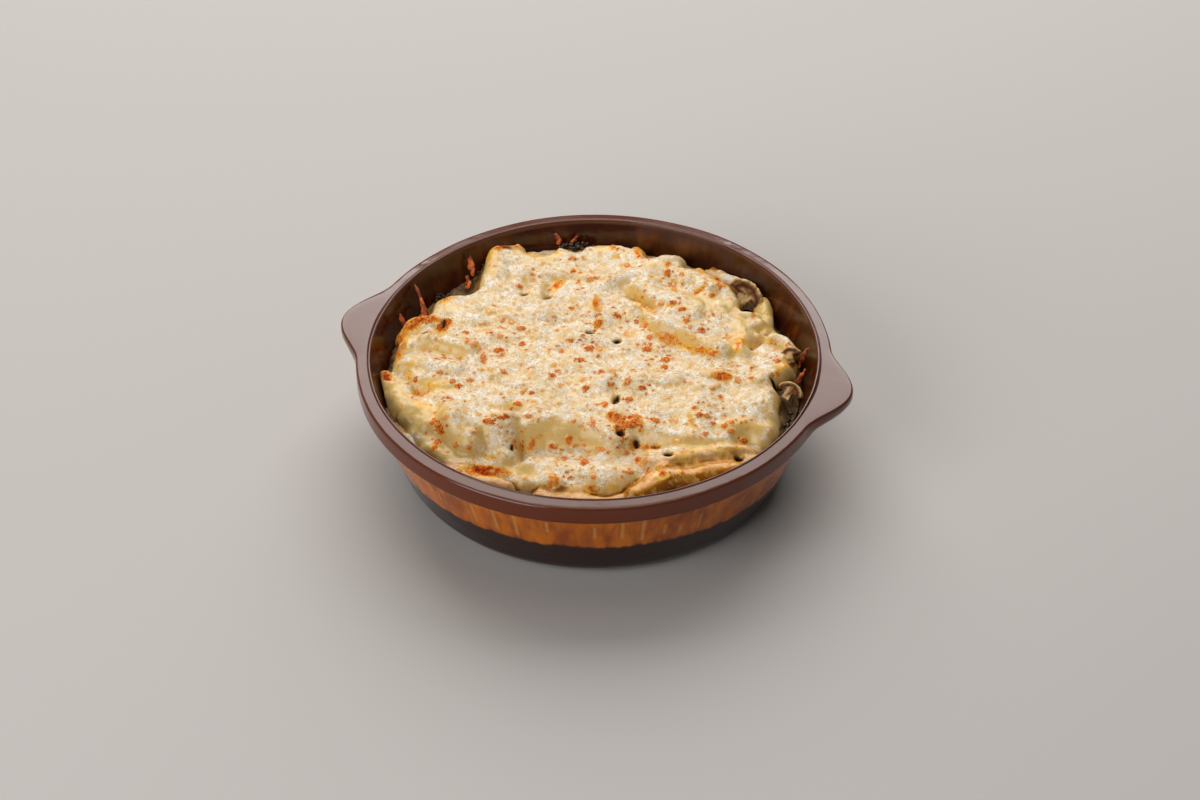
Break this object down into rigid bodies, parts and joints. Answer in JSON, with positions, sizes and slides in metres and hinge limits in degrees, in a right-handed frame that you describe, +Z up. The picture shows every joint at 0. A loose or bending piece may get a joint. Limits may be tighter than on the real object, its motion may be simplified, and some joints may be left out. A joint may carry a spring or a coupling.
{
  "type": "baked pasta gratin in a round stoneware dish",
  "caption": "Oven-baked pasta tubes under a blanket of browned melted cheese, with mushroom pieces, in a round glazed dish with two lugs.",
  "frame": {"origin": "centre of the dish's foot, on the surface it stands on", "axes": "+X runs along the line through both lugs, +Y points away from the viewer of the front, +Z up"},
  "size_m": [0.263, 0.238, 0.0624],
  "materials": {
    "glazed_stoneware": "glossy brown glaze with an ochre band round the outside",
    "pasta": "moist, satin, browned at the ends",
    "melted_cheese": "cream, moist, with orange-brown baked spots",
    "mushroom": "brown, moist, with a paler flesh"
  },
  "bodies": {
    "root": {"dish": "glazed_stoneware", "pasta_heap": "pasta", "cheese_blanket": "melted_cheese", "mushroom_slice": "mushroom", "mushroom_piece_1": "mushroom", "mushroom_piece_2": "mushroom"}
  },
  "joints": []
}
